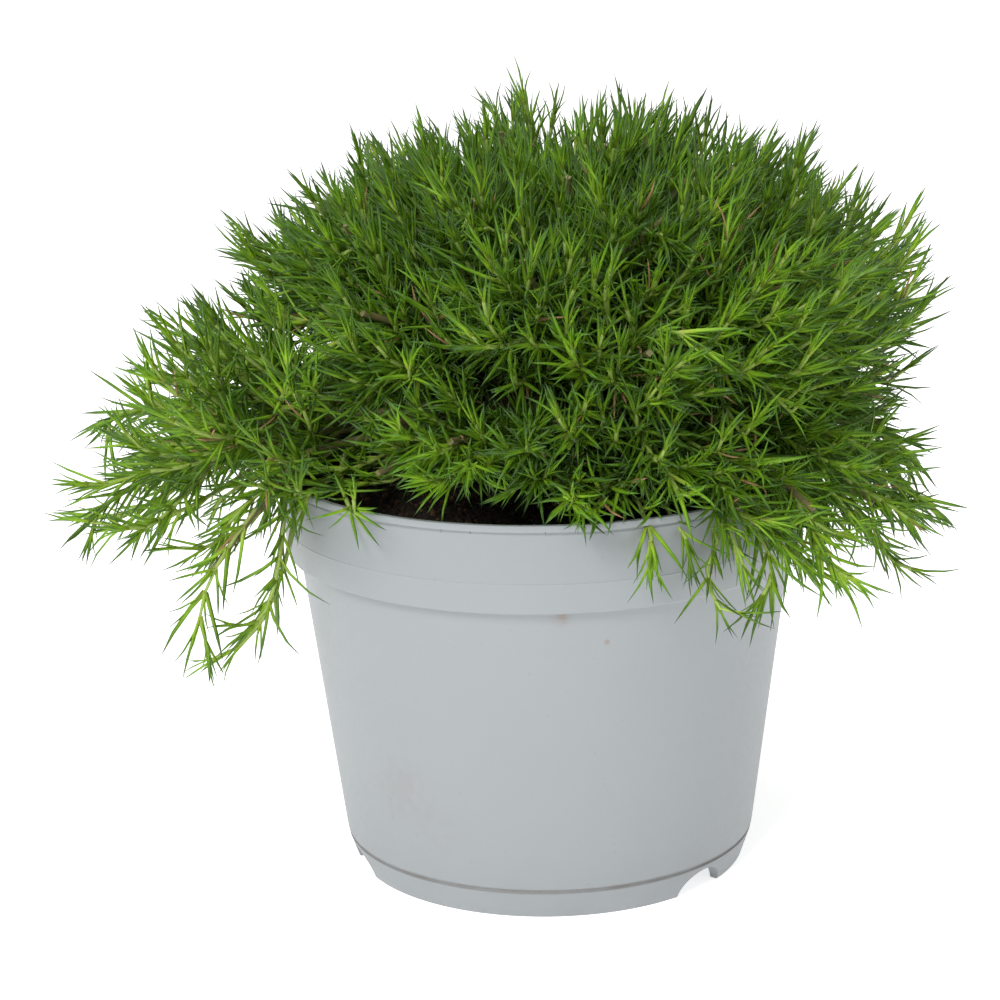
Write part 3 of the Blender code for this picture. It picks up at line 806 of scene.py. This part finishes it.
def leafyTree():
    inputs = {
        "Geometry": ("Geometry", None), "Stem Sides": ("Int", 5), "Nodes": ("Int", 9), "Leaves": ("Int", 6),
        "Leafy Length": ("Float", 0.03), "Leaf Length": ("Float", 0.009), "Tip Spread": ("Float", 0.3),
        "Base Spread": ("Float", 1.0), "Pot Axis": ("Vector", None), "Rim Height": ("Float", 0.09),
        "Rim Radius": ("Float", 0.06), "Wall": ("Float", 0.0015), "Seed": ("Int", 0),
        "Leaf Shapes": ("Collection", None), "Leaf Material": ("Material", None),
        "Stem Material": ("Material", None),
    }
    tree, given, result = startTree("leafyShoots", "GeometryNodeTree", inputs, {"Geometry": "Geometry"})
    tree.is_modifier = True

    def named(name, kind="FLOAT"):
        return put(tree, "GeometryNodeInputNamedAttribute", {"Name": name}, data_type=kind).outputs[0]

    def chance(low, high, seed):
        return put(tree, "FunctionNodeRandomValue",
                   {2: low, 3: high, "Seed": calc(tree, "ADD", given["Seed"], float(seed))},
                   data_type="FLOAT").outputs[1]

    def stored(geometry, name, value, kind="FLOAT", domain="POINT"):
        return put(tree, "GeometryNodeStoreNamedAttribute",
                   {"Geometry": geometry, "Name": name, "Value": value},
                   data_type=kind, domain=domain).outputs[0]

    lines = put(tree, "GeometryNodeMeshToCurve", {"Mesh": given["Geometry"]}).outputs[0]
    ring = put(tree, "GeometryNodeCurvePrimitiveCircle", {"Resolution": given["Stem Sides"], "Radius": 1.0})
    stems = put(tree, "GeometryNodeCurveToMesh",
                {"Curve": lines, "Profile Curve": ring.outputs[0], "Scale": named("thick"),
                 "Fill Caps": True}).outputs[0]
    stems = put(tree, "GeometryNodeSetMaterial", {"Geometry": stems, "Material": given["Stem Material"]}).outputs[0]

    # Points at the nodes of each stem, each turned a quarter from the last
    points = put(tree, "GeometryNodeCurveToPoints", {"Curve": lines, "Count": given["Nodes"]}, mode="COUNT")
    along = points.outputs["Rotation"]
    place = put(tree, "GeometryNodeInputIndex").outputs[0]
    number = calc(tree, "MODULO", place, given["Nodes"])
    spots = stored(points.outputs["Points"], "quarter", calc(tree, "MODULO", number, 2.0))
    spots = stored(spots, "facing", along, "QUATERNION")
    bare = calc(tree, "GREATER_THAN", named("toTip"), given["Leafy Length"])
    spots = put(tree, "GeometryNodeDeleteGeometry", {"Geometry": spots, "Selection": bare}, domain="POINT").outputs[0]
    many = put(tree, "GeometryNodeDuplicateElements", {"Geometry": spots, "Amount": given["Leaves"]}, domain="POINT")
    rank = many.outputs["Duplicate Index"]
    inner = calc(tree, "GREATER_THAN", rank, 1.5)

    # The outer pair spreads, the small leaves between it stand closer to the stem
    opened = put(tree, "ShaderNodeMapRange",
                 {0: named("toTip"), 1: 0.0, 2: 13 * mm, 3: given["Tip Spread"], 4: given["Base Spread"]}).outputs[0]
    tucked = calc(tree, "ADD", calc(tree, "MULTIPLY", inner, chance(-0.75, -0.1, 1)), 1.0)
    spread = calc(tree, "MULTIPLY", calc(tree, "MULTIPLY", opened, tucked), chance(0.75, 1.25, 2))
    side = calc(tree, "MULTIPLY", calc(tree, "MODULO", rank, 2.0), math.pi)
    quarter = calc(tree, "MULTIPLY", named("quarter"), math.pi / 2)
    scatter = calc(tree, "MULTIPLY", chance(-1.0, 1.0, 3), calc(tree, "ADD", calc(tree, "MULTIPLY", inner, 1.1), 0.3))
    azimuth = calc(tree, "ADD", calc(tree, "ADD", side, quarter), scatter)
    turn = put(tree, "ShaderNodeCombineXYZ", {0: 0.0, 1: spread, 2: azimuth}).outputs[0]
    turn = put(tree, "FunctionNodeEulerToRotation", {0: turn}).outputs[0]
    twist = put(tree, "ShaderNodeCombineXYZ", {2: chance(-0.6, 0.6, 4)}).outputs[0]
    twist = put(tree, "FunctionNodeEulerToRotation", {0: twist}).outputs[0]
    turn = put(tree, "FunctionNodeRotateRotation", {0: turn, 1: twist}, rotation_space="LOCAL").outputs[0]
    turn = put(tree, "FunctionNodeRotateRotation", {0: named("facing", "QUATERNION"), 1: turn},
               rotation_space="LOCAL").outputs[0]
    young = ranged(tree, named("toTip"), 0, 7 * mm, 0.78, 1.0)
    small = calc(tree, "ADD", calc(tree, "MULTIPLY", inner, chance(-0.4, 0.0, 5)), 1.0)
    length = calc(tree, "MULTIPLY", calc(tree, "MULTIPLY", given["Leaf Length"], named("vigour")), chance(0.78, 1.22, 6))
    length = calc(tree, "MULTIPLY", calc(tree, "MULTIPLY", length, small), young)

    leaves = stored(many.outputs[0], "turn", turn, "QUATERNION")
    leaves = stored(leaves, "reach", length)
    tone = calc(tree, "ADD", calc(tree, "MULTIPLY", named("shootTone"), 0.6), chance(0.0, 0.4, 7))
    leaves = stored(leaves, "tone", tone)
    parched = ranged(tree, named("toTip"), 8 * mm, 26 * mm, 0.004, 0.05)
    leaves = stored(leaves, "dry", calc(tree, "LESS_THAN", chance(0.0, 1.0, 8), parched))

    # No leaf ends in the pot's wall or in the soil
    pointing = put(tree, "FunctionNodeRotateVector", {0: (0, 0, 1), 1: named("turn", "QUATERNION")}).outputs[0]
    offset = vectorCalc(tree, "SCALE", pointing)
    feed(tree, offset.node.inputs["Scale"], named("reach"))
    base = put(tree, "GeometryNodeInputPosition").outputs[0]
    blocked = None
    for share in (0.5, 1.0):
        part = vectorCalc(tree, "SCALE", offset)
        part.node.inputs["Scale"].default_value = share
        spot = vectorCalc(tree, "SUBTRACT", vectorCalc(tree, "ADD", base, part), given["Pot Axis"])
        axes = put(tree, "ShaderNodeSeparateXYZ", {0: spot}).outputs
        level = put(tree, "ShaderNodeCombineXYZ", {0: axes[0], 1: axes[1]}).outputs[0]
        radius = put(tree, "ShaderNodeVectorMath", {0: level}, operation="LENGTH").outputs["Value"]
        under = calc(tree, "LESS_THAN", axes[2], calc(tree, "ADD", given["Rim Height"], 0.8 * mm))
        within = calc(tree, "LESS_THAN", radius, calc(tree, "ADD", given["Rim Radius"], 0.8 * mm))
        hit = calc(tree, "MULTIPLY", under, within)
        blocked = hit if blocked is None else calc(tree, "MAXIMUM", blocked, hit)
    leaves = put(tree, "GeometryNodeDeleteGeometry", {"Geometry": leaves, "Selection": blocked}, domain="POINT").outputs[0]

    shapes = put(tree, "GeometryNodeCollectionInfo",
                 {"Collection": given["Leaf Shapes"], "Separate Children": True, "Reset Children": True})
    broad = calc(tree, "MULTIPLY", named("reach"), chance(0.85, 1.2, 9))
    size = put(tree, "ShaderNodeCombineXYZ", {0: named("reach"), 1: broad, 2: named("reach")}).outputs[0]
    blades = put(tree, "GeometryNodeInstanceOnPoints",
                 {"Points": leaves, "Instance": shapes.outputs[0], "Pick Instance": True,
                  "Rotation": named("turn", "QUATERNION"), "Scale": size}).outputs[0]
    blades = put(tree, "GeometryNodeRealizeInstances", {0: blades}).outputs[0]
    blades = put(tree, "GeometryNodeSetMaterial", {"Geometry": blades, "Material": given["Leaf Material"]}).outputs[0]
    both = put(tree, "GeometryNodeJoinGeometry")
    tree.links.new(blades, both.inputs[0])
    tree.links.new(stems, both.inputs[0])
    feed(tree, result["Geometry"], both.outputs[0])
    return tree


def leafTips(node):
    # Every leaf of a packed spray: its tip and the way that it points
    bm = bmesh.new()
    bm.from_mesh(node.data)
    bmesh.ops.remove_doubles(bm, verts=bm.verts, dist=0.01 * mm)
    tips = []
    for vertex in bm.verts:
        if len(vertex.link_edges) == 3 and min(edge.calc_length() for edge in vertex.link_edges) > 5 * mm:
            foot = sum((edge.other_vert(vertex).co for edge in vertex.link_edges), Vector()) / 3
            tips.append((vertex.co.copy(), (vertex.co - foot).normalized()))
    points = [vertex.co.copy() for vertex in bm.verts]
    bm.free()
    return tips, points


def trunkOf(points):
    # The middle line of a spray from the crown outwards: one point for each shell of distance
    far = max((point - crown).length for point in points)
    line = []
    for share in (0.0, 0.35, 0.5, 0.65, 0.8):
        distance = max(far * share, 13.5 * mm)
        near = [point for point in points if abs((point - crown).length - distance) < 0.09 * far]
        if near:
            line.append(sum(near, Vector()) / len(near))
    return line


def alongTrunk(line, distance):
    for before, after in zip(line, line[1:]):
        first, last = (before - crown).length, (after - crown).length
        if distance <= last:
            share = max(0, (distance - first) / (last - first))
            return before.lerp(after, share), (after - before).normalized()
    return line[-1], (line[-1] - line[-2]).normalized()


def clearOfPot(point):
    # Pushed up over the rim, or out past it
    offset = (point - potAxis).xy
    free = 1.6 * mm
    if point.z < rimHeight + free and offset.length < rimRadius + free:
        if offset.length > rimRadius - 6 * mm and point.z < rimHeight - 3 * mm:
            point.xy = potAxis.xy + offset.normalized() * (rimRadius + free)
        else:
            point.z = rimHeight + free
    return point


def fillers(everything):
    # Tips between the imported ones, wherever the cushion would show a bare patch
    known = [((tip - crown).normalized(), (tip - crown).length, name) for name, tip, heading in everything]
    extra = []
    for number in range(foliage["fillCount"]):
        level = 1 - (1 - math.cos(math.radians(foliage["fillTilt"]))) * (number + 0.5) / foliage["fillCount"]
        tilt, azimuth = math.degrees(math.acos(level)), math.degrees(goldenTurn * number) % 360
        heading = compass(azimuth, tilt)
        reach, owner = max((length * heading.dot(unit)**3, name) for unit, length, name in known)
        extra.append((owner, clearOfPot(crown + heading * reach), heading))
    return extra


def drapes(everything, draw):
    # Tips of the short shoots that hang over the rim
    extra = []
    low, high = foliage["drapeAzimuths"]
    for number in range(foliage["drapes"]):
        outward = compass(low + (high - low) * (number + draw.random()) / foliage["drapes"], 90)
        tip = potAxis + outward * (rimRadius + draw.uniform(*foliage["drapeStandOff"]))
        tip.z = draw.uniform(*foliage["drapeHeights"])
        owner = min(everything, key=lambda known: (known[1] - tip).length)[0]
        extra.append((owner, tip, (outward + Vector((0, 0, -0.9))).normalized()))
    return extra


def overWindow(point):
    # Whether a shoot that ends here would hide the soil at the front
    offset = point - potAxis
    azimuth = math.degrees(math.atan2(offset.x, -offset.y))
    low, high = foliage["soilWindow"]
    return low < azimuth < high and point.z < foliage["windowHeight"] and offset.y < 0


def looseness(point):
    # How much wider apart the shoots stand here, and how far out
    offset = point - crown
    azimuth, tilt = math.degrees(math.atan2(offset.x, -offset.y)), math.degrees(offset.angle((0, 0, 1)))
    for low, high, fromTilt, toTilt, gap, reach in foliage["looseSides"]:
        if low < azimuth < high and fromTilt <= tilt < toTilt:
            return gap, reach
    low, high = foliage["reachTilts"]
    share = min(1, max(0, (tilt - low) / (high - low)))
    return 1, foliage["topReach"] + (foliage["sideReach"] - foliage["topReach"]) * share


def chooseTips():
    # An even spread of shoots over the cushion, and a second layer under it
    everything = []
    trunks = {}
    for name, node in sorted(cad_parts.items()):
        if "spray" in name:
            tips, points = leafTips(node)
            trunks[name] = trunkOf(points)
            everything += [(name, tip, heading) for tip, heading in tips]
    draw = random.Random(foliage["seed"])
    draw.shuffle(everything)
    chosen = []
    kept = []
    layers = (
        (drapes(everything, draw), 3 * mm, 0),
        (everything, foliage["tipGap"], 0),
        (fillers(everything), foliage["fillGap"], 0),
        (everything, foliage["innerGap"], foliage["innerDepth"]),
    )
    for candidates, gap, depth in layers:
        for name, tip, heading in candidates:
            loose, reach = looseness(tip)
            stray = draw.random() < foliage["strays"]
            reach *= foliage["strayReach"] if stray else 1 - foliage["unevenness"] * draw.random()
            offset = (tip - crown) * reach
            place = crown + offset - offset.normalized() * depth
            room = gap * loose
            if not overWindow(place) and all((place - other).length > room for other in kept):
                kept.append(place)
                chosen.append((name, place, heading))
    return chosen, trunks


def shootLine(name, tip, heading, trunk, draw):
    outward = (tip - crown).normalized()
    scatter = Vector([draw.gauss(0, 0.24) for _ in range(3)])
    trailing = name.startswith("rim") and tip.z < rimHeight + 12 * mm
    if heading.z < -0.5:
        facing = (heading + scatter).normalized()
    else:
        upturn = Vector((0, 0, foliage["trailingUpturn" if trailing else "upturn"]))
        facing = (heading * 0.3 + outward * 0.6 + upturn + scatter).normalized()
    end = tip - facing * foliage["leafLength"] * 0.8
    distance = (end - crown).length
    shares = (0.42, 0.62) if name.startswith("top") else (0.55, 0.8)
    start, along = alongTrunk(trunk, distance * draw.uniform(*shares))
    span = (end - start).length
    leave = (along + (end - start).normalized()).normalized() * span * 0.8
    arrive = facing * span * 0.75
    wander = Vector([draw.gauss(0, 1) for _ in range(3)]) * 0.035 * span
    line = []
    for step in range(foliage["steps"]):
        t = step / (foliage["steps"] - 1)
        point = (start * (2 * t**3 - 3 * t**2 + 1) + leave * (t**3 - 2 * t**2 + t)
                 + end * (3 * t**2 - 2 * t**3) + arrive * (t**3 - t**2))
        point += wander * math.sin(math.pi * t)
        line.append(clearOfPot(point))
    return line


def makeFoliage():
    chosen, trunks = chooseTips()
    print("foliage:", len(chosen), "shoots")
    draw = random.Random(foliage["seed"] + 1)
    tree, shapes = leafyTree(), makeLeafShapes()
    values = {
        "Stem Sides": foliage["stemSides"], "Nodes": foliage["nodes"], "Leaves": foliage["leaves"],
        "Leafy Length": foliage["leafyLength"], "Leaf Length": foliage["leafLength"],
        "Tip Spread": math.radians(foliage["tipSpread"]), "Base Spread": math.radians(foliage["baseSpread"]),
        "Pot Axis": potAxis, "Rim Height": rimHeight, "Rim Radius": rimRadius, "Leaf Shapes": shapes,
        "Leaf Material": makeLeafGreen(), "Stem Material": makeStemGreen(),
    }
    total = 0
    for order, (name, trunk) in enumerate(sorted(trunks.items())):
        lines = []
        for owner, tip, heading in chosen:
            if owner == name:
                line = shootLine(name, tip, heading, trunk, draw)
                low = 0.22 if tip.z < rimHeight + 25 * mm else 0
                lines.append((line, min(1, draw.random() ** 1.4 + low), draw.uniform(0.85, 1.2)))
        vertices, edges, thick, toTip, tones, vigours = [], [], [], [], [], []
        for line, tone, vigour in lines + [(trunk, 0.3, 1.0)]:
            first = len(vertices)
            left = sum((after - before).length for before, after in zip(line, line[1:]))
            whole = left
            isTrunk = line is trunk
            for number, point in enumerate(line):
                if number:
                    left -= (point - line[number - 1]).length
                    edges.append((first + number - 1, first + number))
                vertices.append(point)
                share = left / whole
                if isTrunk:
                    thick.append(foliage["trunkRadius"] * (0.6 + 0.4 * share))
                    toTip.append(60 * mm)
                else:
                    thick.append(foliage["tipRadius"] + (foliage["stemRadius"] - foliage["tipRadius"]) * share)
                    toTip.append(max(left, 0))
                tones.append(tone)
                vigours.append(vigour)
        mesh = bpy.data.meshes.new(name)
        mesh.from_pydata(vertices, edges, [])
        for label, numbers in (("thick", thick), ("toTip", toTip), ("shootTone", tones), ("vigour", vigours)):
            mesh.attributes.new(label, "FLOAT", "POINT").data.foreach_set("value", numbers)
        values["Seed"] = foliage["seed"] + order * 20
        piece = grownBy("leafy_" + name, mesh, tree, values)
        placed(piece, "foliage", name)
        total += len(piece.data.polygons)
    bpy.data.collections.remove(shapes)
    print("foliage:", total, "faces")


makeFoliage()
